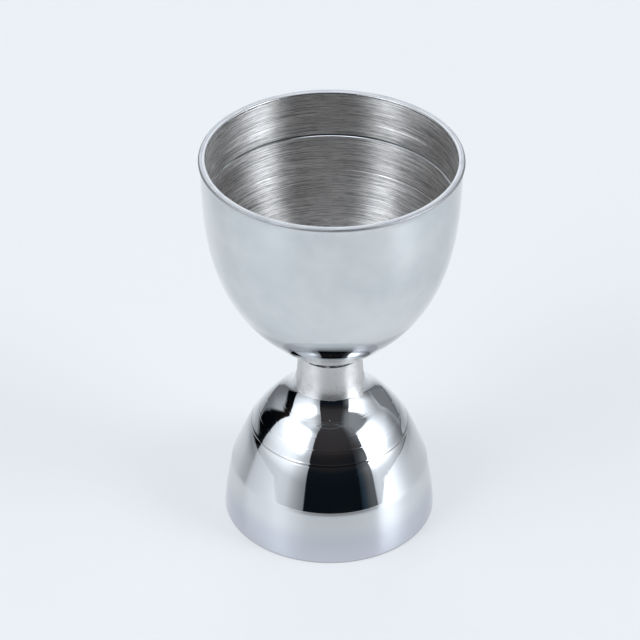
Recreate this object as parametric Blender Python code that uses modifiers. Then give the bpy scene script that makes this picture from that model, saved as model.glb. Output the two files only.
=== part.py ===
"""Double-ended bar jigger in stainless steel.

A large bell cup stands on a waisted neck, and a small bell cup turned upside down is the foot.
The neck is brazed to the flat seat in the middle of each cup. Every piece is turned about Z.
Metres, +Z up, origin in the middle of the rim that the jigger stands on.
"""

from math import cos, radians, sin, sqrt, tan

import bmesh
import bpy
from mathutils import Vector

MM = 0.001

# Fits
GAP = 0.3 * MM                  # left between two pieces that meet

# Large cup, open upwards
LARGE_RIM_RADIUS = 26.5 * MM    # outside of the lip
LARGE_CUP_HEIGHT = 46.1 * MM    # seat to rim
LARGE_WALL = 1.2 * MM
LIP_FLARE = 0.34 * MM           # how far the lip stands out of the wall
LIP_HEIGHT = 1.4 * MM           # height over which it does
LIP_LAND = 0.5 * MM             # upright stretch at the very top
LIP_ROUND = 0.3 * MM
WALL_DRAFT = radians(0.8)       # lean of the wall just under the lip
WALL_REACH = 18.0 * MM          # how far down the wall keeps nearly straight
BOWL_ANGLE = radians(55.0)      # slope of the bowl at the seat, from upright
BOWL_REACH = 22.1 * MM          # how far up from the seat that slope is felt
LARGE_SEAT_MARGIN = 0.05 * MM   # seat past the neck's radius

# Measuring groove inside the large cup
GROOVE_DROP = 10.0 * MM         # below the rim
GROOVE_WIDTH = 0.6 * MM
GROOVE_DEPTH = 0.25 * MM
CUTTER_REACH = 0.5 * MM         # how far the groove's cutter starts inside the wall

# Neck
NECK_LENGTH = 8.2 * MM
NECK_WAIST_RADIUS = 6.55 * MM   # under the large cup
NECK_FOOT_RADIUS = 7.15 * MM    # where it runs into the lower braze
TOP_CHAMFER = 1.0 * MM          # filled by the upper braze
FOOT_CHAMFER = 1.5 * MM         # filled by the lower braze

# Braze fillets
UPPER_BRAZE_LEG = 1.0 * MM      # along the large cup, from its seat's edge
LOWER_BRAZE_LEG = 1.9 * MM      # along the small cup, from its seat's edge
BRAZE_TOE = 0.1 * MM            # thickness where a fillet runs out

# Small cup, open downwards
SMALL_CUP_HEIGHT = 30.4 * MM    # rim to seat
SMALL_RIM_RADIUS = 22.05 * MM
SMALL_WALL = 1.0 * MM
RIM_ROUND = 0.25 * MM
RIM_LAND = 0.5 * MM             # upright stretch that the cup stands on
RIM_DRAFT = radians(2.5)        # lean of the skirt at the rim
SKIRT_HEIGHT = 11.5 * MM        # soft crease between skirt and bend
SKIRT_RADIUS = 20.6 * MM
SKIRT_DRAFT = radians(9.8)      # lean of the skirt just under that crease
SKIRT_BLEND = 1.4 * MM
BEND_FOOT_HEIGHT = 16.9 * MM    # where the lean over the skirt starts to grow
BEND_FOOT_RADIUS = 18.45 * MM
BEND_FOOT_DRAFT = radians(22.6)
BEND_TOP_HEIGHT = 20.9 * MM     # crease between bend and band
BEND_TOP_RADIUS = 16.38 * MM
BEND_TOP_DRAFT = radians(36.0)  # just under that crease
BAND_FOOT_DRAFT = radians(32.0)  # just over it
CROWN_DROP = 6.98 * MM          # seat to the fine crease between shoulder and band
CROWN_RADIUS = 14.7 * MM
BAND_TOP_DRAFT = radians(38.8)  # just under that crease
CROWN_DRAFT = radians(37.8)     # just over it
SHOULDER_DROP = 3.3 * MM        # seat to where the shoulder is flattest
SHOULDER_RADIUS = 11.2 * MM
SHOULDER_DRAFT = radians(52.5)
SEAT_DRAFT = radians(51.0)      # at the seat's edge, under the braze
SMALL_SEAT_MARGIN = 0.05 * MM   # seat past the neck's radius

# Fineness of the facets
TURN_STEPS = 56
BOWL_SEGMENTS = 14
SHOULDER_SEGMENTS = 4
CROWN_SEGMENTS = 5
BAND_SEGMENTS = 2
BEND_SEGMENTS = 4
SKIRT_SEGMENTS = 4
NECK_SEGMENTS = 6
BLEND_SEGMENTS = 3
FILLET_SEGMENTS = 4
ROUND_SEGMENTS = 2
SHARP_ANGLE = radians(60.0)     # a rim's edges are sharper than this, and nothing else is
MERGE_DISTANCE = 0.01 * MM      # points on the axis become one

# Levels that follow from the sizes
SMALL_SEAT_Z = SMALL_CUP_HEIGHT
NECK_BOTTOM_Z = SMALL_SEAT_Z + GAP
NECK_TOP_Z = NECK_BOTTOM_Z + NECK_LENGTH
LARGE_SEAT_Z = NECK_TOP_Z + GAP
RIM_Z = LARGE_SEAT_Z + LARGE_CUP_HEIGHT
LARGE_SEAT_RADIUS = NECK_WAIST_RADIUS + LARGE_SEAT_MARGIN
SMALL_SEAT_RADIUS = NECK_FOOT_RADIUS + SMALL_SEAT_MARGIN


def clear_scene():
    """Remove every object that the scene already holds."""
    for obj in list(bpy.data.objects):
        bpy.data.objects.remove(obj, do_unlink=True)


def new_collection(name):
    collection = bpy.data.collections.new(name)
    bpy.context.scene.collection.children.link(collection)
    return collection


def steel(name, colour, roughness):
    """A metal with the given colour and roughness."""
    material = bpy.data.materials.new(name)
    material.use_nodes = True
    shader = material.node_tree.nodes["Principled BSDF"]
    shader.inputs["Base Color"].default_value = (*colour, 1.0)
    shader.inputs["Metallic"].default_value = 1.0
    shader.inputs["Roughness"].default_value = roughness
    return material


def downhill(angle):
    """Unit step (radius, z) that goes down and outwards, at this angle from upright."""
    return Vector((sin(angle), -cos(angle)))


def bezier(start, start_handle, end_handle, end, count):
    """Points of a cubic curve after its start, up to and including its end."""
    points = []
    for i in range(1, count + 1):
        t = i / count
        s = 1 - t
        points.append(
            start * s**3 + start_handle * (3 * s * s * t) + end_handle * (3 * s * t * t) + end * t**3
        )
    return points


def swept(start, start_angle, end, end_angle, count, start_reach=None, end_reach=None):
    """A curve that runs down from start to end and has these slopes there, from upright.

    A reach says how far the slope at that end is felt: a third of the way, if it isn't given.
    """
    third = (end - start).length / 3
    start_handle = start + downhill(start_angle) * (start_reach or third)
    end_handle = end - downhill(end_angle) * (end_reach or third)
    return bezier(start, start_handle, end_handle, end, count)


def rounded(start, corner, end, count):
    """A curve from start to end that leaves and arrives along the lines to the corner."""
    return bezier(start, start.lerp(corner, 2 / 3), end.lerp(corner, 2 / 3), end, count)


def blend(before, corner, after, length):
    """A corner drawn as a short curve that starts and ends this far from it."""
    start = corner + (before - corner).normalized() * length
    end = corner + (after - corner).normalized() * length
    return [start] + rounded(start, corner, end, BLEND_SEGMENTS)


def radius_at(outline, z):
    """Radius of an outline that runs downwards, at height z."""
    for upper, lower in zip(outline, outline[1:]):
        if upper.y >= z >= lower.y and upper.y > lower.y:
            return upper.lerp(lower, (upper.y - z) / (upper.y - lower.y)).x
    return outline[-1].x


def turned(name, outline, collection, closed=False):
    """An object made by turning an outline of (radius, z) points once round Z.

    The outline runs down the outer side. A closed outline makes a ring.
    """
    mesh = bpy.data.meshes.new(name)
    shape = bmesh.new()
    verts = [shape.verts.new((point.x, 0.0, point.y)) for point in outline]
    for first, second in zip(verts, verts[1:]):
        shape.edges.new((first, second))
    if closed:
        shape.edges.new((verts[-1], verts[0]))
    shape.to_mesh(mesh)
    shape.free()
    obj = bpy.data.objects.new(name, mesh)
    collection.objects.link(obj)
    screw = obj.modifiers.new("Turn", "SCREW")
    screw.axis = "Z"
    screw.steps = TURN_STEPS
    screw.render_steps = TURN_STEPS
    screw.use_merge_vertices = True
    screw.merge_threshold = MERGE_DISTANCE
    screw.use_smooth_shade = True
    return obj


def add_wall(obj, thickness):
    """Thicken a turned sheet inwards."""
    solidify = obj.modifiers.new("Wall", "SOLIDIFY")
    solidify.thickness = thickness
    solidify.offset = -1.0
    solidify.use_even_offset = True
    solidify.use_rim = True


def round_rim(obj, width):
    """Round the two edges of a cup's rim, the only sharp ones that it has."""
    bevel = obj.modifiers.new("Rim round", "BEVEL")
    bevel.width = width
    bevel.segments = ROUND_SEGMENTS
    bevel.limit_method = "ANGLE"
    bevel.angle_limit = SHARP_ANGLE
    bevel.use_clamp_overlap = True


def large_cup_outline():
    """Outside of the large cup, from the lip down to the middle of its seat."""
    rim = Vector((LARGE_RIM_RADIUS, RIM_Z))
    lip = rim - Vector((0, LIP_LAND))
    lip_foot = Vector((LARGE_RIM_RADIUS - LIP_FLARE, RIM_Z - LIP_HEIGHT))
    seat_edge = Vector((LARGE_SEAT_RADIUS, LARGE_SEAT_Z))
    flare = swept(lip, 0, lip_foot, -WALL_DRAFT, BLEND_SEGMENTS)
    bowl = swept(
        lip_foot, -WALL_DRAFT, seat_edge, -BOWL_ANGLE, BOWL_SEGMENTS, WALL_REACH, BOWL_REACH
    )
    return [rim, lip] + flare + bowl + [Vector((0, LARGE_SEAT_Z))]


def small_cup_outline():
    """Outside of the small cup, from the middle of its seat down to the rim."""
    seat_edge = Vector((SMALL_SEAT_RADIUS, SMALL_SEAT_Z))
    shoulder = Vector((SHOULDER_RADIUS, SMALL_SEAT_Z - SHOULDER_DROP))
    crown = Vector((CROWN_RADIUS, SMALL_SEAT_Z - CROWN_DROP))
    bend_top = Vector((BEND_TOP_RADIUS, BEND_TOP_HEIGHT))
    bend_foot = Vector((BEND_FOOT_RADIUS, BEND_FOOT_HEIGHT))
    skirt = Vector((SKIRT_RADIUS, SKIRT_HEIGHT))
    skirt_top = skirt + downhill(SKIRT_DRAFT) * SKIRT_BLEND
    rim = Vector((SMALL_RIM_RADIUS, RIM_LAND))
    return (
        [Vector((0, SMALL_SEAT_Z)), seat_edge]
        + swept(seat_edge, SEAT_DRAFT, shoulder, SHOULDER_DRAFT, SHOULDER_SEGMENTS)
        + swept(shoulder, SHOULDER_DRAFT, crown, CROWN_DRAFT, CROWN_SEGMENTS)
        + swept(crown, BAND_TOP_DRAFT, bend_top, BAND_FOOT_DRAFT, BAND_SEGMENTS)
        + swept(bend_top, BEND_TOP_DRAFT, bend_foot, BEND_FOOT_DRAFT, BEND_SEGMENTS)
        + blend(bend_foot, skirt, skirt_top, SKIRT_BLEND)
        + swept(skirt_top, SKIRT_DRAFT, rim, RIM_DRAFT, SKIRT_SEGMENTS)
        + [Vector((SMALL_RIM_RADIUS, 0))]
    )


def neck_outline():
    """The neck from the middle of its top down its waisted side to the middle of its foot."""
    top = Vector((NECK_WAIST_RADIUS, NECK_TOP_Z - TOP_CHAMFER))
    foot = Vector((NECK_FOOT_RADIUS, NECK_BOTTOM_Z + FOOT_CHAMFER))
    middle = Vector((NECK_WAIST_RADIUS, (top.y + foot.y) / 2))
    return (
        [Vector((0, NECK_TOP_Z)), Vector((top.x - TOP_CHAMFER, NECK_TOP_Z)), top]
        + rounded(top, middle, foot, NECK_SEGMENTS)
        + [Vector((foot.x - FOOT_CHAMFER, NECK_BOTTOM_Z)), Vector((0, NECK_BOTTOM_Z))]
    )


def braze_outline(neck_radius, chamfer, seat_radius, slope, leg):
    """Section of a braze fillet, as (radius, height above the cup's seat).

    It fills the neck's chamfer and the corner outside it, and runs out on the cup, this far along
    it. The cup leaves its seat's edge at this slope. The braze stays one gap clear of both.
    """
    along = downhill(slope)
    away = Vector((cos(slope), sin(slope)))
    neck_point = Vector((neck_radius, GAP + chamfer - GAP * sqrt(2)))
    under = Vector((seat_radius, 0)) + away * GAP
    toe_under = under + along * leg
    toe = toe_under + away * BRAZE_TOE
    corner = Vector((neck_radius, toe.y + (toe.x - neck_radius) / tan(slope)))
    face = rounded(neck_point, corner, toe, FILLET_SEGMENTS)
    inner = Vector((neck_radius - chamfer + GAP * sqrt(2), GAP))
    return [neck_point] + face + [toe_under, under, Vector((seat_radius, GAP)), inner]


def groove_outline(cup_outline):
    """Section of the groove's cutter, a V that points outwards from inside the wall."""
    z = RIM_Z - GROOVE_DROP
    inside = radius_at(cup_outline, z) - LARGE_WALL / cos(WALL_DRAFT)
    half = GROOVE_WIDTH / 2 * (GROOVE_DEPTH + CUTTER_REACH) / GROOVE_DEPTH
    return [
        Vector((inside - CUTTER_REACH, z + half)),
        Vector((inside + GROOVE_DEPTH, z)),
        Vector((inside - CUTTER_REACH, z - half)),
    ]


def make_large_cup(parts, cutters, material):
    outline = large_cup_outline()
    cup = turned("large_cup", outline, parts)
    add_wall(cup, LARGE_WALL)
    round_rim(cup, LIP_ROUND)
    cutter = turned("groove_cutter", groove_outline(outline), cutters, closed=True)
    cutter.hide_render = True
    cutter.display_type = "WIRE"
    cut = cup.modifiers.new("Measuring groove", "BOOLEAN")
    cut.operation = "DIFFERENCE"
    cut.solver = "EXACT"
    cut.object = cutter
    cup.data.materials.append(material)


def make_small_cup(parts, material):
    cup = turned("small_cup", small_cup_outline(), parts)
    add_wall(cup, SMALL_WALL)
    round_rim(cup, RIM_ROUND)
    cup.data.materials.append(material)


def make_neck(parts, material):
    neck = turned("neck", neck_outline(), parts)
    neck.data.materials.append(material)


def make_lower_braze(parts, material):
    section = braze_outline(
        NECK_FOOT_RADIUS, FOOT_CHAMFER, SMALL_SEAT_RADIUS, SEAT_DRAFT, LOWER_BRAZE_LEG
    )
    outline = [Vector((point.x, SMALL_SEAT_Z + point.y)) for point in section]
    ring = turned("lower_braze", outline, parts, closed=True)
    ring.data.materials.append(material)


def make_upper_braze(parts, material):
    section = braze_outline(
        NECK_WAIST_RADIUS, TOP_CHAMFER, LARGE_SEAT_RADIUS, BOWL_ANGLE, UPPER_BRAZE_LEG
    )
    outline = [Vector((point.x, LARGE_SEAT_Z - point.y)) for point in reversed(section)]
    ring = turned("upper_braze", outline, parts, closed=True)
    ring.data.materials.append(material)


def main():
    clear_scene()
    parts = new_collection("Bar_Jigger")
    cutters = new_collection("Cutters")
    bright = steel("bright_steel", (0.74, 0.76, 0.78), 0.16)
    mirror = steel("mirror_steel", (0.78, 0.79, 0.80), 0.04)
    satin = steel("satin_steel", (0.66, 0.66, 0.65), 0.36)
    braze = steel("braze_metal", (0.64, 0.64, 0.62), 0.40)
    make_small_cup(parts, mirror)
    make_lower_braze(parts, braze)
    make_neck(parts, satin)
    make_upper_braze(parts, braze)
    make_large_cup(parts, cutters, bright)


main()
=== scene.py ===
"""A double-ended bar jigger in stainless steel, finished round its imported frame.

Two bell cups stand back to back on a short neck. Each piece is turned: its outline, a line of
(radius, height) points, is spun once round Z. All sizes are in metres.
"""

from bisect import bisect_left
from math import cos, pi, radians, sin

import bmesh
import bpy
from mathutils import Matrix, Vector


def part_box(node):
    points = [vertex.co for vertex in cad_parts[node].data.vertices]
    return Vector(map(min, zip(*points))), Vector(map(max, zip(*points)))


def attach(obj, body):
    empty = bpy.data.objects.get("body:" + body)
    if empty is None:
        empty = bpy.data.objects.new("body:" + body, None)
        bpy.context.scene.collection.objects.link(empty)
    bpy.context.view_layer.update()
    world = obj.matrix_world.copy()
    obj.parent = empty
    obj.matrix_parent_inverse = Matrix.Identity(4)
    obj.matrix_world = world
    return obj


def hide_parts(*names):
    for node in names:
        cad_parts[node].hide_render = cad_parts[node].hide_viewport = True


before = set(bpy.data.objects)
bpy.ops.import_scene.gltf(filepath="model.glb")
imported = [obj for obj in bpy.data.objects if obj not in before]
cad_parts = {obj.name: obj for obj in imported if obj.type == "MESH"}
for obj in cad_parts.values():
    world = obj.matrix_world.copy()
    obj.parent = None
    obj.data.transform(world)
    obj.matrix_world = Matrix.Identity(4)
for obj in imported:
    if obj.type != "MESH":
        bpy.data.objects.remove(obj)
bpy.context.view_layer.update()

MM = 0.001
SPIN_STEPS = 256
SAME_POINT = 0.0001 * MM
MERGE_DISTANCE = 0.001 * MM
SHARP_EDGE = radians(40)        # a sharper corner than this is drawn hard
BORE_RADIUS = 0.3 * MM          # nearer the axis than this, a cup's floor is closed flat
TO_DEGREES = 180 / pi

# Where the frame puts the pieces
LARGE_LOW, LARGE_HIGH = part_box("large_cup")
_, SMALL_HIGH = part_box("small_cup")
RIM_RADIUS = LARGE_HIGH.x
RIM_Z = LARGE_HIGH.z
LARGE_SEAT_Z = LARGE_LOW.z
BASE_RADIUS = SMALL_HIGH.x
SMALL_SEAT_Z = SMALL_HIGH.z

# Large cup
LARGE_WALL = 1.2 * MM
LIP_LAND = 0.5 * MM             # upright stretch outside, just under the top
LIP_FLARE = 0.34 * MM           # how far the lip stands out of the wall
LIP_HEIGHT = 1.4 * MM
LIP_ROUND = 0.32 * MM
LIP_CROWN = 0.02 * MM           # how far the top's edges fall away
LIP_WIDTH = 1.5 * MM
WALL_DRAFT = radians(0.8)
WALL_REACH = 18.0 * MM          # how far the wall keeps its draft before it curves in
BOWL_ANGLE = radians(55)
BOWL_REACH = 22.1 * MM          # how far the bowl keeps its angle above the seat
LARGE_SEAT_RADIUS = 6.6 * MM
UNDERSIDE_Z = 45.5 * MM         # below this the outside is left as it was turned
GROOVE_DROP = 10.0 * MM         # rim to the measuring groove
GROOVE_WIDTH = 0.5 * MM
GROOVE_DEPTH = 0.2 * MM
GROOVE_LOWER_SHARE = 0.3        # share of the groove's width that its lower side takes
# Fine lines left by turning inside: height, depth, width
INNER_LINES = (
    (RIM_Z - 3.4 * MM, 0.03 * MM, 0.16 * MM),
    (RIM_Z - 6.6 * MM, 0.06 * MM, 0.22 * MM),
    (RIM_Z - 17.7 * MM, 0.07 * MM, 0.26 * MM),
    (RIM_Z - 24.5 * MM, 0.03 * MM, 0.2 * MM),
)
# Rings left by turning the underside: height, depth, width
OUTER_LINES = (
    (46.3 * MM, 0.04 * MM, 0.8 * MM),
    (44.3 * MM, 0.04 * MM, 0.9 * MM),
)

# Small cup, from the neck down. Angles are from upright
SMALL_WALL = 1.0 * MM
UNDER_FILLET = 0.6 * MM         # how far the cup goes on under the lower fillet
TOE = Vector((8.9, 29.1)) * MM
TOE_ANGLE = radians(42.5)
HOLLOW = Vector((9.66, 28.356)) * MM
HOLLOW_ANGLE = radians(48.5)
SHOULDER = Vector((11.2, 27.1)) * MM
SHOULDER_ANGLE = radians(53)
DOME = Vector((12.35, 26.12)) * MM
DOME_ANGLE = radians(46)
CROWN = Vector((14.7, 23.42)) * MM
CROWN_ANGLE = radians(37.8)
BAND_TOP_ANGLE = radians(38.8)
BEND_TOP = Vector((16.38, 20.9)) * MM
BAND_FOOT_ANGLE = radians(32)
BEND_TOP_ANGLE = radians(36)
BEND_FOOT = Vector((18.45, 16.9)) * MM
BEND_FOOT_ANGLE = radians(22.6)
SKIRT_TOP = Vector((20.6, 11.5)) * MM
SKIRT_ANGLE = radians(9.8)
SKIRT_BLEND = 0.65 * MM
STANDING_ANGLE = radians(2.5)
STANDING_ROUND = 0.3 * MM
# Fine lines left by spinning it over a form: height, depth, width. They stand proud, so their
# depths are below 0
SPUN_LINES = (
    (27.55 * MM, -0.004 * MM, 0.12 * MM),
    (25.45 * MM, -0.006 * MM, 0.14 * MM),
    (23.42 * MM, -0.014 * MM, 0.12 * MM),
    (20.9 * MM, -0.03 * MM, 0.26 * MM),
)

# Neck and the fillets that braze it to the cups
WAIST_RADIUS = 6.7 * MM
NECK_TOP_Z = 38.75 * MM
NECK_FOOT = Vector((7.15, 32.25)) * MM
NECK_FOOT_ANGLE = radians(18)
NECK_FOOT_REACH = 1.2 * MM      # how far the neck keeps that angle above its foot
UPPER_TOE = Vector((7.0, 39.45)) * MM
UPPER_SUNK = 0.2 * MM           # how far the upper fillet runs up into the large cup
FILLET_MIDDLE = Vector((7.85, 30.6)) * MM
FILLET_ANGLE = radians(27.5)
FILLET_BACK = 6.0 * MM          # radius of the fillets' hidden backs
LOWER_SUNK = 0.8 * MM           # how far the lower fillet's back goes down under its toe

# Where a finish or painted shade changes. Each pair is the height, radius or width where the
# change starts, and the one where it is complete
RIM_SCUFFED = (RIM_Z - 2.4 * MM, RIM_Z - 0.6 * MM)
BOWL_BUFFED = (56.0 * MM, 50.0 * MM)
BELT_TOP = (54.0 * MM, 51.5 * MM)           # a darker belt round the bowl, painted shade for the dark reflection under it
BELT_FOOT = (48.2 * MM, 48.9 * MM)
NEAR_NECK = (43.5 * MM, 41.0 * MM)
FOOT_SCUFFED = (1.5 * MM, 0.1 * MM)
# Painted shadow where the standing rim meets the floor
FOOT_EDGE_SHADE = (0.42 * MM, 0.2 * MM)
# Painted shade: the skirt darker and bluer towards the bottom
LOW_SKIRT_SHADE = (9.0 * MM, 4.0 * MM)
BEND_CREASE_SHADE = (0.24 * MM, 0.1 * MM)         # away from the crease at the bend's top, where shade is painted
# Painted shade: the outer half of the lip's top is darker
LIP_SHADED_HALF = (RIM_RADIUS - 0.78 * MM, RIM_RADIUS - 0.68 * MM)
LIP_SHADE_LINE_RADIUS = RIM_RADIUS - 0.72 * MM    # a thin dark line of painted shade along the lip
LIP_SHADE_LINE = (0.09 * MM, 0.03 * MM)
LIP_CORNER = (RIM_RADIUS - 0.3 * MM, RIM_RADIUS - 0.1 * MM)
POLISH_TOP_Z = 31.15 * MM                   # the buffing wheel reaches up to here
POLISH_EDGE = (POLISH_TOP_Z + 0.07 * MM, POLISH_TOP_Z + 0.23 * MM)
POLISH_SAG = (3.5 * MM, 6.8 * MM)           # towards +X the wheel's edge falls by this much
POLISH_SAG_DROP = 0.9 * MM
POLISH_CAUGHT = (6.75 * MM, 7.1 * MM)       # at both sides it ran up by this much
POLISH_CAUGHT_RISE = 2.0 * MM
POLISH_WOBBLE = 0.3 * MM

# Colours of the steel, some of them painted shade
CLEAN = (0.705, 0.72, 0.73, 1)
CLOUDED = (0.60, 0.625, 0.645, 1)
# Painted shade for the belt round the bowl
BELT_SHADE = (0.40, 0.415, 0.44, 1)
MIRROR_BRIGHT = (0.71, 0.722, 0.738, 1)
# Painted shade for the low skirt
MIRROR_SHADED_LOW = (0.61, 0.623, 0.678, 1)
# Painted shade along the crease at the bend's top
MIRROR_CREASE_SHADE = (0.54, 0.53, 0.525, 1)
# Painted shadow at the standing edge
MIRROR_FOOT_SHADE = (0.40, 0.405, 0.42, 1)
BRUSHED_DARK = (0.36, 0.35, 0.345, 1)
BRUSHED_BRIGHT = (1.0, 0.975, 0.955, 1)
LIP_INNER_DARK = (0.44, 0.44, 0.45, 1)
LIP_INNER_BRIGHT = (0.66, 0.66, 0.66, 1)
# The lip's outer half, in painted shade
LIP_OUTER_SHADED_DARK = (0.38, 0.385, 0.40, 1)
LIP_OUTER_SHADED_BRIGHT = (0.54, 0.545, 0.56, 1)
# Painted shade for the thin line along the lip
LIP_SHADE_LINE_DARK = (0.34, 0.345, 0.36, 1)
# Painted shade in the groove
GROOVE_SHADE = (0.05, 0.05, 0.052, 1)
GROOVE_SHADE_TORN = (0.16, 0.155, 0.15, 1)
RINGED = (0.66, 0.675, 0.695, 1)
SATIN_DARK = (0.685, 0.67, 0.66, 1)
SATIN_BRIGHT = (0.78, 0.765, 0.755, 1)
SATIN_MARK = (0.33, 0.32, 0.32, 1)
SEAM_BRIGHT = (0.62, 0.61, 0.60, 1)
# Painted shade in the upper seam
SEAM_SHADE = (0.05, 0.05, 0.055, 1)
SEAM_ROUGH = 0.34


# ---------------------------------------------------------------- outlines

def downhill(angle):
    """Unit step (radius, height) down and outwards, at this angle from upright."""
    return Vector((sin(angle), -cos(angle)))


def bezier(a, b, c, d, count):
    """Points of a cubic curve after a, up to and including d."""
    points = []
    for i in range(1, count + 1):
        t = i / count
        s = 1 - t
        points.append(a * s**3 + b * (3 * s * s * t) + c * (3 * s * t * t) + d * t**3)
    return points


def swept(start, start_angle, end, end_angle, count, start_reach=None, end_reach=None):
    """A curve that runs down from start to end with these slopes at its ends."""
    third = (end - start).length / 3
    start_handle = start + downhill(start_angle) * (start_reach or third)
    end_handle = end - downhill(end_angle) * (end_reach or third)
    return bezier(start, start_handle, end_handle, end, count)


def rounded(start, corner, end, count):
    """A curve from start to end that leaves and arrives along the lines to the corner."""
    return bezier(start, start.lerp(corner, 2 / 3), end.lerp(corner, 2 / 3), end, count)


def blend(before, corner, after, length, count):
    """A corner drawn as a short curve that starts and ends this far from it."""
    start = corner + (before - corner).normalized() * length
    end = corner + (after - corner).normalized() * length
    return [start] + rounded(start, corner, end, count)


def offset(points, distance):
    """The line beside another one, to the right of its run."""
    moved = []
    for i, point in enumerate(points):
        ahead = points[min(i + 1, len(points) - 1)] - points[max(i - 1, 0)]
        ahead.normalize()
        moved.append(point + Vector((ahead.y, -ahead.x)) * distance)
    return moved


def scored(points, mark_z, depth, width, lower_share=0.5):
    """A line that runs downhill, with a V groove turned into its right side, in three parts."""
    for upper, lower in zip(points, points[1:]):
        if upper.y >= mark_z > lower.y:
            break
    along = (lower - upper).normalized()
    middle = upper.lerp(lower, (upper.y - mark_z) / (upper.y - lower.y))
    start = middle - along * width * (1 - lower_share)
    end = middle + along * width * lower_share
    bottom = middle + Vector((along.y, -along.x)) * depth
    clear = [point for point in points if (point - middle).length > width]
    before = [point for point in clear if point.y > start.y]
    after = [point for point in clear if point.y < end.y]
    return before + [start], [bottom, end], after


class Outline:
    """A line of points that is turned into a piece. Each stretch has its own material."""

    def __init__(self):
        self.points = []
        self.materials = []

    def add(self, points, material):
        """Go on through these points. The stretch that leads to each has this material."""
        for point in points:
            if self.points and (point - self.points[-1]).length < SAME_POINT:
                continue
            self.points.append(point)
            self.materials.append(material)


def in_scene(name, data):
    """A new object in the scene."""
    made = bpy.data.objects.new(name, data)
    bpy.context.scene.collection.objects.link(made)
    return made


def spun(name, outline, cad_node):
    """Make a piece by turning an outline once round Z. It stands for this CAD node.

    Each vertex keeps how far along the outline it lies, in the attribute "along".
    """
    shape = bmesh.new()
    along = shape.verts.layers.float.new("along")
    verts = []
    ends = []
    length = 0.0
    before = outline.points[0]
    for point in outline.points:
        length += (point - before).length
        before = point
        ends.append(length)
        vert = shape.verts.new((point.x, 0, point.y))
        vert[along] = length
        verts.append(vert)
    edges = [shape.edges.new(pair) for pair in zip(verts, verts[1:])]
    if outline.points[0].x > 0:
        # A ring off the axis, so its outline is closed
        edges.append(shape.edges.new((verts[-1], verts[0])))
    bmesh.ops.spin(
        shape,
        geom=verts + edges,
        cent=(0, 0, 0),
        axis=(0, 0, 1),
        angle=2 * pi,
        steps=SPIN_STEPS,
        use_merge=True,
        use_duplicate=False,
    )
    bmesh.ops.remove_doubles(shape, verts=shape.verts, dist=MERGE_DISTANCE)
    bmesh.ops.recalc_face_normals(shape, faces=shape.faces)
    palette = list(dict.fromkeys(outline.materials))
    for face in shape.faces:
        middle = sum(vert[along] for vert in face.verts) / len(face.verts)
        stretch = min(bisect_left(ends, middle), len(ends) - 1)
        face.material_index = palette.index(outline.materials[stretch])
        face.smooth = True
    mesh = bpy.data.meshes.new(name)
    shape.to_mesh(mesh)
    shape.free()
    mesh.set_sharp_from_angle(angle=SHARP_EDGE)
    for material in palette:
        mesh.materials.append(material)
    piece = in_scene(name, mesh)
    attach(piece, "root")
    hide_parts(cad_node)


# ---------------------------------------------------------------- material nodes

def put(tree, socket, value):
    """Set a socket, or link another node's output to it."""
    if isinstance(value, bpy.types.NodeSocket):
        tree.links.new(value, socket)
    else:
        socket.default_value = value


def node(tree, kind, settings=None, **inputs):
    """A node of a tree. An input is named, or numbered as in _0."""
    made = tree.nodes.new(kind)
    for key, value in (settings or {}).items():
        setattr(made, key, value)
    for key, value in inputs.items():
        socket = int(key[1:]) if key[0] == "_" else key.replace("_", " ")
        put(tree, made.inputs[socket], value)
    return made


def maths(tree, operation, *values):
    made = node(tree, "ShaderNodeMath", {"operation": operation})
    for socket, value in zip(made.inputs, values):
        put(tree, socket, value)
    return made.outputs[0]


def times(tree, first, second):
    return maths(tree, "MULTIPLY", first, second)


def total(tree, *values):
    """The sum of these outputs."""
    result = values[0]
    for value in values[1:]:
        result = maths(tree, "ADD", result, value)
    return result


def distance_from(tree, value, middle):
    """How far a value is from this middle, on either side."""
    return maths(tree, "ABSOLUTE", maths(tree, "SUBTRACT", value, middle))


def spread(tree, value, low, high, to_low=0.0, to_high=1.0):
    """Carry a value from one range to another, eased at both ends."""
    made = node(
        tree,
        "ShaderNodeMapRange",
        {"interpolation_type": "SMOOTHSTEP"},
        _0=value,
        _1=low,
        _2=high,
        _3=to_low,
        _4=to_high,
    )
    return made.outputs[0]


def between(tree, share, low, high):
    """A level this share of the way from low to high."""
    return node(tree, "ShaderNodeMapRange", _0=share, _3=low, _4=high).outputs[0]


def mixed(tree, factor, first, second):
    """A colour between two others. Inputs 6 and 7 and output 2 are the node's colours."""
    made = node(tree, "ShaderNodeMix", {"data_type": "RGBA"}, _0=factor, _6=first, _7=second)
    return made.outputs[2]


def place(tree):
    return node(tree, "ShaderNodeTexCoord").outputs["Object"]


def height(tree):
    return node(tree, "ShaderNodeSeparateXYZ", _0=place(tree)).outputs[2]


def flat_place(tree):
    """The place with its height left out: the way from the axis."""
    parts = node(tree, "ShaderNodeSeparateXYZ", _0=place(tree)).outputs
    return node(tree, "ShaderNodeCombineXYZ", _0=parts[0], _1=parts[1]).outputs[0]


def radius(tree):
    length = node(tree, "ShaderNodeVectorMath", {"operation": "LENGTH"}, _0=flat_place(tree))
    return length.outputs["Value"]


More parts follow.
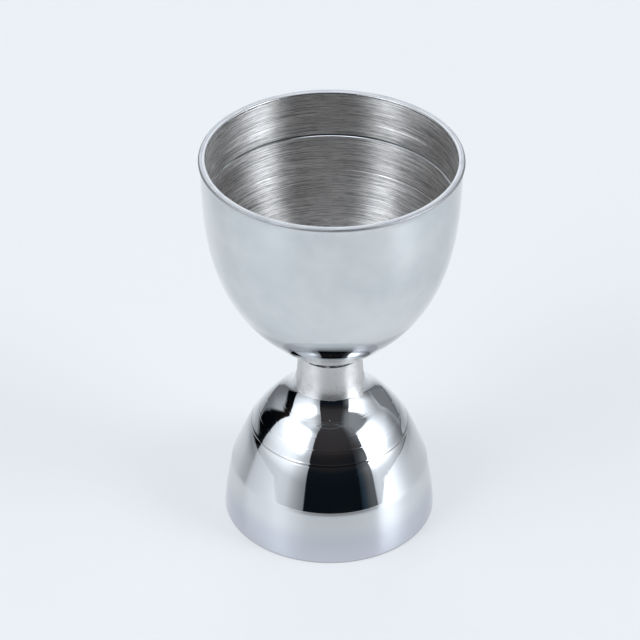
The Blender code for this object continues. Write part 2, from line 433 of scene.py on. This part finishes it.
def around(tree, turns, fineness, shift=0.0):
    """A vector for marks on a turned face: its direction from the axis and the way along it.

    More turns make the marks shorter round the axis, and more fineness makes them narrower.
    """
    facing = node(tree, "ShaderNodeVectorMath", {"operation": "NORMALIZE"}, _0=flat_place(tree))
    sides = node(tree, "ShaderNodeSeparateXYZ", _0=facing.outputs[0]).outputs
    along = node(tree, "ShaderNodeAttribute", {"attribute_name": "along"}).outputs["Fac"]
    made = node(
        tree,
        "ShaderNodeCombineXYZ",
        _0=maths(tree, "MULTIPLY_ADD", sides[0], turns, shift),
        _1=times(tree, sides[1], turns),
        _2=times(tree, along, fineness),
    )
    return made.outputs[0]


def noise(tree, vector, scale=1.0, detail=2.0, rough=0.5):
    """Soft random levels round a half."""
    made = node(tree, "ShaderNodeTexNoise", Vector=vector, Scale=scale, Detail=detail,
                Roughness=rough)
    return made.outputs[0]


def hairlines(tree, vector, width):
    """1 on thin broken lines that follow a stretched noise, 0 off them."""
    away = distance_from(tree, noise(tree, vector, detail=1.0), 0.5)
    line = spread(tree, away, width, 0.0)
    broken = spread(tree, noise(tree, place(tree), scale=300.0), 0.5, 0.62)
    return times(tree, line, broken)


def specks(tree, per_metre, size, share):
    """1 on small round spots, where this share of the cells of a grid holds one."""
    cells = node(tree, "ShaderNodeTexVoronoi", Vector=place(tree), Scale=per_metre)
    spot = spread(tree, cells.outputs["Distance"], size, size / 3)
    kept = node(tree, "ShaderNodeSeparateColor", _0=cells.outputs["Color"]).outputs[0]
    return times(tree, spot, maths(tree, "LESS_THAN", kept, share))


def metal(name, anisotropic=0.0):
    """A steel, its nodes and its shader. Brushed steel spreads light across its rings."""
    material = bpy.data.materials.new(name)
    material.use_nodes = True
    tree = material.node_tree
    shader = tree.nodes["Principled BSDF"]
    shader.inputs["Metallic"].default_value = 1.0
    if anisotropic:
        tangent = node(tree, "ShaderNodeTangent", {"direction_type": "RADIAL", "axis": "Z"})
        tree.links.new(tangent.outputs[0], shader.inputs["Tangent"])
        shader.inputs["Anisotropic"].default_value = anisotropic
        shader.inputs["Anisotropic Rotation"].default_value = 0.25
    return material, tree, shader


def dress(tree, shader, tone, rough, level, depth):
    """Give a steel its colour and roughness, and raise its face by this level times a depth."""
    put(tree, shader.inputs["Base Color"], tone)
    put(tree, shader.inputs["Roughness"], rough)
    bump = node(tree, "ShaderNodeBump", Strength=1.0, Distance=depth, Height=level)
    tree.links.new(bump.outputs[0], shader.inputs["Normal"])


# ---------------------------------------------------------------- finishes

def polished():
    """The large cup outside: machine polished, with faint clouds, rings and hairlines."""
    material, tree, shader = metal("polished_steel")
    clouds = noise(tree, place(tree), scale=95.0, detail=4.0, rough=0.55)
    rings = noise(tree, around(tree, turns=3.0, fineness=2600.0), detail=3.0, rough=0.65)
    crossing = hairlines(tree, around(tree, turns=46.0, fineness=90.0), width=0.006)
    circling = hairlines(tree, around(tree, turns=5.0, fineness=1500.0, shift=7.0), width=0.008)
    lines = total(tree, crossing, circling)
    grain = noise(tree, place(tree), scale=900.0, detail=3.0)
    worn = spread(tree, height(tree), *RIM_SCUFFED)
    scuffs = times(tree, worn, spread(tree, grain, 0.45, 0.7))
    rough = total(
        tree,
        spread(tree, clouds, 0.35, 0.68, to_low=0.03, to_high=0.09),
        times(tree, rings, 0.03),
        times(tree, lines, 0.10),
        times(tree, scuffs, 0.15),
    )
    unbuffed = spread(tree, height(tree), *BOWL_BUFFED, to_low=1.0, to_high=0.3)
    stain = noise(tree, place(tree), scale=55.0, detail=3.0, rough=0.6)
    tone = mixed(tree, spread(tree, stain, 0.32, 0.68), CLOUDED, CLEAN)
    # Painted shade: a darker belt round the bowl, standing in for the dark reflection of what
    # lies under it
    under_top = spread(tree, height(tree), *BELT_TOP)
    over_foot = spread(tree, height(tree), *BELT_FOOT)
    tone = mixed(tree, times(tree, under_top, over_foot), tone, BELT_SHADE)
    swell = noise(tree, place(tree), scale=48.0, detail=1.0)
    level = total(
        tree,
        times(tree, swell, 30.0),
        times(tree, rings, 0.35),
        times(tree, lines, -0.5),
    )
    dress(tree, shader, tone, times(tree, rough, unbuffed), level, 0.0013 * MM)
    return material


def mirror():
    """The small cup outside: a mirror, with faint rings, hairlines, specks and wear, and
    painted shade towards the bottom, along the bend's crease and at the standing edge.
    """
    material, tree, shader = metal("mirror_steel")
    clouds = noise(tree, place(tree), scale=120.0, detail=4.0, rough=0.6)
    rings = noise(tree, around(tree, turns=2.0, fineness=2200.0), detail=2.0, rough=0.6)
    crossing = hairlines(tree, around(tree, turns=55.0, fineness=120.0), width=0.005)
    circling = hairlines(tree, around(tree, turns=4.0, fineness=1300.0, shift=3.0), width=0.007)
    lines = total(tree, crossing, circling)
    pits = specks(tree, per_metre=700.0, size=0.16, share=0.05)
    grain = noise(tree, place(tree), scale=1100.0, detail=3.0)
    worn = spread(tree, height(tree), *FOOT_SCUFFED)
    scuffs = times(tree, worn, spread(tree, grain, 0.42, 0.62))
    rough = total(
        tree,
        spread(tree, clouds, 0.45, 0.72, to_low=0.022, to_high=0.075),
        times(tree, lines, 0.10),
        times(tree, pits, 0.3),
        times(tree, scuffs, 0.18),
    )
    # Painted shade: darker and bluer towards the bottom, for the shaded floor that the skirt
    # mirrors near the base
    low = spread(tree, height(tree), *LOW_SKIRT_SHADE)
    tone = mixed(tree, low, MIRROR_BRIGHT, MIRROR_SHADED_LOW)
    # Painted shade: darker along the crease at the bend's top
    from_crease = distance_from(tree, height(tree), BEND_TOP.y)
    tone = mixed(tree, spread(tree, from_crease, *BEND_CREASE_SHADE), tone, MIRROR_CREASE_SHADE)
    # Painted shadow: darker at the standing edge, where the cup meets the floor
    tone = mixed(tree, spread(tree, height(tree), *FOOT_EDGE_SHADE), tone, MIRROR_FOOT_SHADE)
    swell = noise(tree, place(tree), scale=55.0, detail=1.0)
    level = total(
        tree,
        times(tree, swell, 8.0),
        times(tree, rings, 0.01),
        times(tree, lines, -0.04),
        times(tree, pits, -1.0),
    )
    dress(tree, shader, tone, rough, level, 0.001 * MM)
    return material


def brushed():
    """Inside both cups: turned in fine rings, some of them deeper and darker."""
    material, tree, shader = metal("brushed_steel", anisotropic=1.0)
    coarse = noise(tree, around(tree, turns=2.0, fineness=7000.0), detail=2.0)
    fine = noise(tree, around(tree, turns=8.0, fineness=9000.0), detail=2.0, rough=0.8)
    broad = noise(tree, around(tree, turns=1.0, fineness=420.0, shift=5.0), detail=2.0)
    streaks = total(
        tree,
        times(tree, fine, 0.45),
        times(tree, coarse, 0.45),
        times(tree, broad, 0.1),
    )
    tone = mixed(tree, spread(tree, streaks, 0.39, 0.61), BRUSHED_DARK, BRUSHED_BRIGHT)
    rough = spread(tree, broad, 0.3, 0.7, to_low=0.33, to_high=0.43)
    level = total(tree, times(tree, coarse, 0.5), times(tree, fine, 0.5))
    dress(tree, shader, tone, rough, level, 0.025 * MM)
    return material


def turned_lip():
    """The lip's top: cut by a tool that left fine rings and nicks, with painted shade: its
    outer half darker, and a thin dark line along it.
    """
    material, tree, shader = metal("turned_steel")
    rings = noise(tree, around(tree, turns=1.5, fineness=6500.0), detail=2.0, rough=0.6)
    nicks = specks(tree, per_metre=900.0, size=0.3, share=0.12)
    clouds = noise(tree, place(tree), scale=260.0, detail=3.0)
    inner_tone = mixed(tree, rings, LIP_INNER_DARK, LIP_INNER_BRIGHT)
    # Painted shade: the outer half of the lip's top darker than its inner half
    shaded_outer_tone = mixed(tree, rings, LIP_OUTER_SHADED_DARK, LIP_OUTER_SHADED_BRIGHT)
    shaded_half = spread(tree, radius(tree), *LIP_SHADED_HALF)
    tone = mixed(tree, shaded_half, inner_tone, shaded_outer_tone)
    # Painted shade: a thin dark line along the lip
    from_shade_line = distance_from(tree, radius(tree), LIP_SHADE_LINE_RADIUS)
    tone = mixed(tree, spread(tree, from_shade_line, *LIP_SHADE_LINE), tone, LIP_SHADE_LINE_DARK)
    rough = total(
        tree,
        spread(tree, clouds, 0.35, 0.65, to_low=0.20, to_high=0.32),
        spread(tree, radius(tree), *LIP_CORNER, to_low=0.0, to_high=0.22),
    )
    level = total(tree, rings, times(tree, nicks, -0.6))
    dress(tree, shader, tone, rough, level, 0.012 * MM)
    return material


def groove_top():
    """The groove's upper side: torn by the tool, and darkened with painted shade."""
    material, tree, shader = metal("groove_steel")
    tears = noise(tree, around(tree, turns=9.0, fineness=6500.0), detail=2.0, rough=0.6)
    # Painted shade: the groove's upper side dark
    tone = mixed(tree, tears, GROOVE_SHADE, GROOVE_SHADE_TORN)
    rough = spread(tree, tears, 0.3, 0.7, to_low=0.4, to_high=0.6)
    dress(tree, shader, tone, rough, tears, 0.02 * MM)
    return material


def underside():
    """The large cup's underside near the neck: polished over coarser turning rings."""
    material, tree, shader = metal("ringed_steel")
    rings = noise(tree, around(tree, turns=0.6, fineness=1500.0), detail=2.0, rough=0.6)
    near = spread(tree, height(tree), *NEAR_NECK)
    clouds = noise(tree, place(tree), scale=150.0, detail=3.0)
    rough = total(
        tree,
        spread(tree, clouds, 0.35, 0.7, to_low=0.03, to_high=0.06),
        times(tree, near, 0.16),
    )
    level = times(tree, rings, maths(tree, "ADD", near, 0.03))
    dress(tree, shader, RINGED, rough, level, 0.02 * MM)
    return material


def ground(tree, lumps):
    """Satin left by grinding round the neck: its colour, its roughness and its bumps."""
    rings = noise(tree, around(tree, turns=2.5, fineness=4200.0), detail=3.0, rough=0.7)
    patches = noise(tree, place(tree), scale=420.0, detail=3.0, rough=0.6)
    cloth = noise(tree, place(tree), scale=1500.0, detail=3.0, rough=0.6)
    pits = specks(tree, per_metre=1300.0, size=0.3, share=0.04)
    scratches = hairlines(tree, around(tree, turns=5.0, fineness=2600.0, shift=2.0), width=0.05)
    marks = maths(tree, "MAXIMUM", times(tree, pits, 0.7), times(tree, scratches, 0.4))
    tone = mixed(tree, spread(tree, patches, 0.3, 0.7), SATIN_DARK, SATIN_BRIGHT)
    tone = mixed(tree, marks, tone, SATIN_MARK)
    rough = spread(tree, patches, 0.3, 0.75, to_low=0.32, to_high=0.42)
    level = total(
        tree,
        times(tree, rings, 0.3),
        times(tree, cloth, lumps),
        times(tree, patches, 0.8),
        times(tree, pits, -0.6),
    )
    return tone, rough, level


def satin():
    """The neck: ground round after brazing."""
    material, tree, shader = metal("satin_steel", anisotropic=0.8)
    tone, rough, level = ground(tree, lumps=0.2)
    dress(tree, shader, tone, rough, level, 0.02 * MM)
    return material


def brazed_foot():
    """Satin where the lower fillet leaves the neck, buffed bright where it meets the cup."""
    material, tree, shader = metal("foot_braze", anisotropic=0.6)
    tone, rough, level = ground(tree, lumps=0.6)
    sideways = node(tree, "ShaderNodeSeparateXYZ", _0=place(tree)).outputs[0]
    to_side = maths(tree, "ABSOLUTE", sideways)
    edge = total(
        tree,
        height(tree),
        spread(tree, sideways, *POLISH_SAG, to_low=0.0, to_high=POLISH_SAG_DROP),
        spread(tree, to_side, *POLISH_CAUGHT, to_low=0.0, to_high=-POLISH_CAUGHT_RISE),
        times(tree, noise(tree, place(tree), scale=420.0, detail=3.0), POLISH_WOBBLE),
    )
    matt = spread(tree, edge, *POLISH_EDGE)
    tone = mixed(tree, matt, MIRROR_BRIGHT, tone)
    rough = between(tree, matt, 0.04, rough)
    level = times(tree, level, between(tree, matt, 0.02, 1.0))
    dress(tree, shader, tone, rough, level, 0.02 * MM)
    return material


def brazed_top():
    """The upper fillet: a thin lumpy seam, darkened in patches with painted shade, more of it
    towards the front.
    """
    material, tree, shader = metal("top_braze")
    lumps = noise(tree, place(tree), scale=900.0, detail=3.0, rough=0.6)
    facing = around(tree, turns=1.0, fineness=1.0)
    sides = node(tree, "ShaderNodeSeparateXYZ", _0=facing).outputs
    front = maths(tree, "MULTIPLY_ADD", sides[0], 0.25, times(tree, sides[1], -1.0))
    # Painted shade: dark patches along the seam, more of them towards the front
    seam_shade = spread(tree, total(tree, times(tree, front, 0.35), lumps), 0.62, 0.86)
    tone = mixed(tree, seam_shade, SEAM_BRIGHT, SEAM_SHADE)
    dress(tree, shader, tone, SEAM_ROUGH, lumps, 0.05 * MM)
    return material


POLISHED = polished()
MIRROR = mirror()
BRUSHED = brushed()
LIP = turned_lip()
GROOVE = groove_top()
UNDERSIDE = underside()
SATIN = satin()
FOOT_BRAZE = brazed_foot()
TOP_BRAZE = brazed_top()


# ---------------------------------------------------------------- pieces

def large_cup_wall():
    """The outside of the large cup under its lip, running down to its seat."""
    lip_foot = Vector((RIM_RADIUS - LIP_FLARE, RIM_Z - LIP_HEIGHT))
    seat_edge = Vector((LARGE_SEAT_RADIUS, LARGE_SEAT_Z))
    bowl = swept(
        lip_foot,
        -WALL_DRAFT,
        seat_edge,
        -BOWL_ANGLE,
        count=90,
        start_reach=WALL_REACH,
        end_reach=BOWL_REACH,
    )
    return [lip_foot] + bowl


def lip_outline(line):
    """The lip's rounded top, from its outer side over to its inner side."""
    outer = Vector((RIM_RADIUS, RIM_Z - LIP_LAND))
    outer_top = Vector((RIM_RADIUS - LIP_ROUND, RIM_Z - LIP_CROWN))
    middle = Vector((RIM_RADIUS - LIP_WIDTH / 2, RIM_Z))
    inner_top = Vector((RIM_RADIUS - LIP_WIDTH + LIP_ROUND, RIM_Z - LIP_CROWN))
    inner = Vector((RIM_RADIUS - LIP_WIDTH, RIM_Z - LIP_LAND))
    outer_corner = Vector((outer.x, outer_top.y))
    inner_corner = Vector((inner.x, inner_top.y))
    over_outer = Vector((outer_top.x - LIP_ROUND / 2, RIM_Z))
    over_inner = Vector((inner_top.x + LIP_ROUND / 2, RIM_Z))
    line.add(rounded(outer, outer_corner, outer_top, count=8), LIP)
    line.add(rounded(outer_top, over_outer, middle, count=4), LIP)
    line.add(rounded(middle, over_inner, inner_top, count=4), LIP)
    line.add(rounded(inner_top, inner_corner, inner, count=8), LIP)


def make_large_cup():
    """The bell that opens upwards, with its lip and measuring groove."""
    wall = large_cup_wall()
    outer = Vector((RIM_RADIUS, RIM_Z - LIP_LAND))
    flare = swept(outer, 0, wall[0], -WALL_DRAFT, count=8)
    inside = [
        point for point in offset(wall, LARGE_WALL)
        if point.x > BORE_RADIUS and point.y < RIM_Z - LIP_HEIGHT
    ]
    for mark_z, depth, width in INNER_LINES:
        inside = sum(scored(inside, mark_z, -depth, width), [])
    above, groove, below = scored(
        inside, RIM_Z - GROOVE_DROP, -GROOVE_DEPTH, GROOVE_WIDTH, GROOVE_LOWER_SHARE
    )
    for mark_z, depth, width in OUTER_LINES:
        wall = sum(scored(wall, mark_z, depth, width), [])
    wall.reverse()
    line = Outline()
    line.add([Vector((0, LARGE_SEAT_Z))], UNDERSIDE)
    line.add([point for point in wall if point.y < UNDERSIDE_Z], UNDERSIDE)
    line.add([point for point in wall if point.y >= UNDERSIDE_Z], POLISHED)
    line.add(reversed([outer] + flare[:-1]), POLISHED)
    lip_outline(line)
    line.add(above, BRUSHED)
    # The groove's upper side is painted dark: painted shade in the groove
    line.add(groove[:1], GROOVE)
    line.add(groove[1:], POLISHED)
    line.add(below, BRUSHED)
    line.add([Vector((0, below[-1].y))], BRUSHED)
    spun("large_cup_shell", line, "large_cup")


def small_cup_wall():
    """The outside of the small cup, from the lower fillet's toe down to the standing rim."""
    skirt_low = SKIRT_TOP + downhill(SKIRT_ANGLE) * SKIRT_BLEND
    rim = Vector((BASE_RADIUS, STANDING_ROUND))
    return (
        [TOE]
        + swept(TOE, TOE_ANGLE, HOLLOW, HOLLOW_ANGLE, count=8)
        + swept(HOLLOW, HOLLOW_ANGLE, SHOULDER, SHOULDER_ANGLE, count=14)
        + swept(SHOULDER, SHOULDER_ANGLE, DOME, DOME_ANGLE, count=14)
        + swept(DOME, DOME_ANGLE, CROWN, CROWN_ANGLE, count=20)
        + swept(CROWN, BAND_TOP_ANGLE, BEND_TOP, BAND_FOOT_ANGLE, count=16)
        + swept(BEND_TOP, BEND_TOP_ANGLE, BEND_FOOT, BEND_FOOT_ANGLE, count=20)
        + blend(BEND_FOOT, SKIRT_TOP, skirt_low, SKIRT_BLEND, count=10)
        + swept(skirt_low, SKIRT_ANGLE, rim, STANDING_ANGLE, count=30)
    )


def make_small_cup():
    """The bell that the jigger stands on, open downwards."""
    wall = small_cup_wall()
    inside = [
        point for point in offset(wall, SMALL_WALL)
        if point.x > BORE_RADIUS and point.y > STANDING_ROUND
    ]
    marked = wall
    for mark_z, depth, width in SPUN_LINES:
        marked = sum(scored(marked, mark_z, depth, width), [])
    seat = [
        Vector((0, SMALL_SEAT_Z)),
        Vector((FILLET_BACK, SMALL_SEAT_Z)),
        TOE - downhill(TOE_ANGLE) * UNDER_FILLET,
    ]
    outer = Vector((BASE_RADIUS - STANDING_ROUND, 0))
    inner = Vector((BASE_RADIUS - SMALL_WALL + STANDING_ROUND, 0))
    line = Outline()
    line.add(seat, MIRROR)
    line.add(marked, MIRROR)
    line.add(rounded(wall[-1], Vector((BASE_RADIUS, 0)), outer, count=6), MIRROR)
    line.add([inner], BRUSHED)
    line.add(rounded(inner, Vector((inside[-1].x, 0)), inside[-1], count=6), BRUSHED)
    line.add(reversed(inside), BRUSHED)
    line.add([Vector((0, inside[0].y))], BRUSHED)
    spun("small_cup_shell", line, "small_cup")


def make_neck():
    """The short spacer between the cups, waisted and flared at its foot."""
    top = Vector((WAIST_RADIUS, NECK_TOP_Z))
    side = swept(top, 0, NECK_FOOT, NECK_FOOT_ANGLE, count=24, end_reach=NECK_FOOT_REACH)
    line = Outline()
    line.add([Vector((0, top.y)), top], SATIN)
    line.add(side, SATIN)
    line.add([Vector((0, NECK_FOOT.y))], SATIN)
    spun("neck_collar", line, "neck")


def make_upper_fillet():
    """A thin concave ring from the neck out onto the large cup's underside."""
    top = Vector((WAIST_RADIUS, NECK_TOP_Z))
    corner = Vector((WAIST_RADIUS, LARGE_SEAT_Z))
    line = Outline()
    line.add([Vector((FILLET_BACK, LARGE_SEAT_Z + UPPER_SUNK)), UPPER_TOE], TOP_BRAZE)
    line.add(rounded(UPPER_TOE, corner, top, count=8), TOP_BRAZE)
    line.add([Vector((FILLET_BACK, top.y))], TOP_BRAZE)
    spun("upper_fillet", line, "upper_braze")


def make_lower_fillet():
    """The ground fillet that runs from the neck's foot out to its toe on the small cup."""
    side = [NECK_FOOT]
    side += swept(NECK_FOOT, NECK_FOOT_ANGLE, FILLET_MIDDLE, FILLET_ANGLE, count=16)
    side += swept(FILLET_MIDDLE, FILLET_ANGLE, TOE, TOE_ANGLE, count=12)
    back = [
        Vector((FILLET_BACK, TOE.y - LOWER_SUNK)),
        Vector((FILLET_BACK, NECK_FOOT.y)),
    ]
    line = Outline()
    line.add(side + back, FOOT_BRAZE)
    spun("lower_fillet", line, "lower_braze")


make_large_cup()
make_small_cup()
make_neck()
make_upper_fillet()
make_lower_fillet()


# ---------------------------------------------------------------- floor

FLOOR_HALF_WIDTH = 3.0
PAPER = (0.838, 0.888, 0.93, 1)             # the floor as it shows
PAPER_BASE = (0.396, 0.405, 0.414, 1)
PAPER_GLOW = (0.96, 1.0, 1.03, 1)
PAPER_GLOW_LEVEL = 0.50
# In the steel the paper looks glossy at a low angle. The share of gloss is Fresnel's, times
# SHINE, plus SHINE_START, and SHINE_MOST at most
PAPER_SHINE = 1.6
PAPER_SHINE_START = -0.06
PAPER_SHINE_MOST = 0.7
PAPER_SHINE_ROUGH = 0.3
# In the steel the paper also ends, between these distances behind the jigger, on a grey table
PAPER_END = (0.21, 0.26)
TABLE = (0.92, 0.975, 1.04, 1)
TABLE_LEVEL = 0.2


def is_seen(tree):
    """1 for rays that show the floor, and 0 for rays that only light things."""
    rays = node(tree, "ShaderNodeLightPath").outputs
    through = maths(tree, "MAXIMUM", rays["Is Glossy Ray"], rays["Is Transmission Ray"])
    return maths(tree, "MAXIMUM", rays["Is Camera Ray"], through)


def floor_paper():
    """Pale matt paper that keeps the jigger's shadow."""
    material = bpy.data.materials.new("floor_paper")
    material.use_nodes = True
    tree = material.node_tree
    shader = tree.nodes["Principled BSDF"]
    shader.inputs["Base Color"].default_value = PAPER_BASE
    shader.inputs["Roughness"].default_value = 0.9
    shader.inputs["Specular IOR Level"].default_value = 0.0
    glow_level = times(tree, is_seen(tree), PAPER_GLOW_LEVEL)
    glow = node(tree, "ShaderNodeEmission", Color=PAPER_GLOW, Strength=glow_level)
    matt = node(tree, "ShaderNodeAddShader", _0=shader.outputs[0], _1=glow.outputs[0])
    gloss = node(tree, "ShaderNodeBsdfAnisotropic", Roughness=PAPER_SHINE_ROUGH)
    sheen = node(tree, "ShaderNodeFresnel", IOR=1.5).outputs[0]
    shine = maths(tree, "MULTIPLY_ADD", sheen, PAPER_SHINE, PAPER_SHINE_START)
    shine = maths(tree, "MINIMUM", maths(tree, "MAXIMUM", shine, 0.0), PAPER_SHINE_MOST)
    mirrored = node(tree, "ShaderNodeLightPath").outputs["Is Glossy Ray"]
    share = times(tree, shine, mirrored)
    paper = node(tree, "ShaderNodeMixShader", _0=share, _1=matt.outputs[0], _2=gloss.outputs[0])
    to_back = node(tree, "ShaderNodeSeparateXYZ", _0=place(tree)).outputs[1]
    behind = times(tree, spread(tree, to_back, *PAPER_END), mirrored)
    table = node(tree, "ShaderNodeEmission", Color=TABLE, Strength=TABLE_LEVEL)
    whole = node(
        tree, "ShaderNodeMixShader", _0=behind, _1=paper.outputs[0], _2=table.outputs[0]
    )
    tree.links.new(whole.outputs[0], tree.nodes["Material Output"].inputs["Surface"])
    return material


def make_floor():
    shape = bmesh.new()
    bmesh.ops.create_grid(shape, x_segments=1, y_segments=1, size=FLOOR_HALF_WIDTH)
    mesh = bpy.data.meshes.new("floor")
    shape.to_mesh(mesh)
    shape.free()
    mesh.materials.append(floor_paper())
    in_scene("floor", mesh)


# ---------------------------------------------------------------- studio

# Each panel of light has four entries:
#   its left side, right side and soft edge, in degrees round Z from the front
#   how many degrees its sides lean to the right for each degree of height
#   its brightness at places round Z
#   its brightness at heights in degrees over the floor
EVEN = ((-180, 1), (180, 1))
PANELS = {
    "left_panel": (
        (-103, -28, 1.5),
        0,
        ((-104, 0.6), (-96, 0.76), (-88, 0.84), (-78, 0.92), (-60, 1), (-50, 0.88),
         (-42, 0.62), (-34, 0.42), (-28, 0.3)),
        ((0, 0.85), (6, 0.88), (11, 1.1), (17, 1.3), (24, 1.45), (31, 1.8), (36, 2.0),
         (50, 2.0), (54, 1.3), (57, 1.0), (65, 1.1), (66, 0.3), (67.2, 0.9), (90, 0.9)),
    ),
    "right_panel": (
        (54, 128, 2),
        0,
        ((53, 0.72), (60, 1), (80, 1), (88, 0.88), (96, 0.68), (104, 0.5), (112, 0.36),
         (120, 0.24), (128, 0.14)),
        ((0, 0.85), (6, 1.0), (11, 1.35), (20, 2.1), (38, 2.1), (42, 1.7), (45, 0.9),
         (47, 0.25), (62, 0.25), (66, 0.08)),
    ),
    "left_glow": (
        (-92, -36, 2),
        0,
        ((-92, 0), (-72, 0.1), (-63, 0.5), (-56, 1), (-50, 1), (-40, 0.2), (-36, 0)),
        ((24, 0), (32, 3), (38, 6), (46, 6), (52, 1), (57, 0)),
    ),
    "right_glow": (
        (53.5, 96, 1.5),
        0,
        ((53, 0), (57, 0.4), (62, 0.85), (67, 1), (74, 0.9), (82, 0.45), (90, 0.1), (96, 0)),
        ((10, 0), (22, 3.5), (28, 7), (40, 7), (44, 1), (46, 0)),
    ),
    "left_back": (
        (-208, -134, 5),
        0.55,
        EVEN,
        ((0, 0.2), (8, 0.24), (14, 0.34), (24, 0.5), (34, 0.5)),
    ),
    "right_back": (
        (124, 158, 10),
        0,
        EVEN,
        ((0, 0.24), (60, 0.3)),
    ),
    "grey_stand": (
        (36, 54, 2),
        0,
        ((36, 0.1), (42, 0.35), (50, 1)),
        ((0, 0.12), (17, 0.22), (34, 0.06), (50, 0.2)),
    ),
    "back_wall": (
        (162, 196, 16),
        0,
        EVEN,
        ((0, 0.8), (20, 1.0), (48, 1.0), (60, 0.4), (72, 0)),
    ),
}
# The room over and between the panels: its brightness at heights, and its share round Z
CEILING = (
    (0, 0.006), (20, 0.01), (31, 0.02), (40, 0.04), (65.5, 0.05), (66.3, 0.16), (67.2, 0.06),
    (70, 0.05), (73, 0.5), (78, 1.8), (90, 2.0),
)
CEILING_AROUND = ((-180, 0.35), (-112, 0.25), (-88, 1), (88, 1), (112, 0.25), (180, 0.35))
# Colours of the light, and the levels and heights between which one gives way to the next
PANEL_LIGHT = (0.92, 0.975, 1.04, 1)
LOW_SHADE = (0.62, 0.98, 1.4, 1)
HIGH_SHADE = (1.03, 0.94, 0.98, 1)
SHADE_RISE = (15.0, 32.0)
SHADE_TO_LIGHT = (0.03, 0.1)


def ramp(tree, factor, stops, low, high):
    """A level that follows (place, level) stops. The places run from low to high."""
    made = node(tree, "ShaderNodeFloatCurve")
    share = node(tree, "ShaderNodeMapRange", _0=factor, _1=low, _2=high).outputs[0]
    tree.links.new(share, made.inputs["Value"])
    curve = made.mapping.curves[0]
    top = max(level for _, level in stops)
    spots = [((spot - low) / (high - low), level / top) for spot, level in stops]
    for point, spot in zip((curve.points[0], curve.points[-1]), (spots[0], spots[-1])):
        point.location = spot
        point.handle_type = "VECTOR"
    for spot in spots[1:-1]:
        curve.points.new(*spot).handle_type = "VECTOR"
    made.mapping.extend = "HORIZONTAL"
    made.mapping.update()
    return times(tree, made.outputs[0], top)


def ramp_round(tree, turn, stops):
    """A level that follows stops in degrees round Z."""
    return ramp(tree, turn, stops, -180, 180)


def ramp_up(tree, rise, stops):
    """A level that follows stops in degrees over the floor."""
    return ramp(tree, rise, stops, 0, 90)


def panel(tree, turn, rise, edges, lean, across_stops, upright_stops):
    """Brightness of one panel for a direction given by its turn and rise in degrees."""
    left, right, soft = edges
    leaned = maths(tree, "SUBTRACT", turn, times(tree, rise, lean)) if lean else turn
    from_middle = maths(tree, "SUBTRACT", leaned, (left + right) / 2)
    away = maths(tree, "ABSOLUTE", maths(tree, "WRAP", from_middle, 180.0, -180.0))
    half = (right - left) / 2
    inside = spread(tree, away, half + soft / 2, half - soft / 2)
    across = ramp_round(tree, turn, across_stops)
    upright = ramp_up(tree, rise, upright_stops)
    return times(tree, inside, times(tree, across, upright))


def make_studio():
    """The room that the steel mirrors: soft panels of light, and the floor's colour behind."""
    world = bpy.data.worlds.new("studio")
    bpy.context.scene.world = world
    world.use_nodes = True
    tree = world.node_tree
    tree.nodes.clear()
    direction = node(tree, "ShaderNodeTexCoord").outputs["Generated"]
    x, y, z = node(tree, "ShaderNodeSeparateXYZ", _0=direction).outputs
    to_front = times(tree, y, -1.0)
    turn = times(tree, maths(tree, "ARCTAN2", x, to_front), TO_DEGREES)
    rise = times(tree, maths(tree, "ARCSINE", z), TO_DEGREES)
    overhead = ramp_up(tree, rise, CEILING)
    light = times(tree, overhead, ramp_round(tree, turn, CEILING_AROUND))
    for shape in PANELS.values():
        light = maths(tree, "ADD", light, panel(tree, turn, rise, *shape))
    shade = mixed(tree, spread(tree, rise, *SHADE_RISE), LOW_SHADE, HIGH_SHADE)
    colour = mixed(tree, spread(tree, light, *SHADE_TO_LIGHT), shade, PANEL_LIGHT)
    studio = node(tree, "ShaderNodeBackground", Color=colour, Strength=light)
    pale = node(tree, "ShaderNodeBackground", Color=PAPER, Strength=1.0)
    seen = node(tree, "ShaderNodeLightPath").outputs["Is Camera Ray"]
    mix = node(tree, "ShaderNodeMixShader", _0=seen, _1=studio.outputs[0], _2=pale.outputs[0])
    node(tree, "ShaderNodeOutputWorld", Surface=mix.outputs[0])


# ---------------------------------------------------------------- camera

CAMERA_DISTANCE = 24.308 * RIM_RADIUS       # from the middle of the large rim
CAMERA_RISE = radians(31.814)
CAMERA_PITCH = radians(34.682)
CAMERA_YAW = radians(-0.225)
CAMERA_ROLL = radians(-0.308)
CAMERA_LENS = 182.81                        # in mm, over a sensor of this width
CAMERA_SENSOR = 36.0
CAMERA_CLIP = 10.0 * MM


def make_camera():
    """A long lens that looks down on the front of the jigger."""
    data = bpy.data.cameras.new("camera")
    data.sensor_width = CAMERA_SENSOR
    data.lens = CAMERA_LENS
    data.clip_start = CAMERA_CLIP
    camera = in_scene("camera", data)
    back = Vector((0, -cos(CAMERA_RISE), sin(CAMERA_RISE))) * CAMERA_DISTANCE
    camera.matrix_world = (
        Matrix.Translation(back + Vector((0, 0, RIM_Z)))
        @ Matrix.Rotation(-CAMERA_YAW, 4, "Z")
        @ Matrix.Rotation(pi / 2 - CAMERA_PITCH, 4, "X")
        @ Matrix.Rotation(-CAMERA_ROLL, 4, "Z")
    )
    bpy.context.scene.camera = camera


make_floor()
make_studio()
make_camera()
bpy.context.scene.view_settings.view_transform = "Standard"
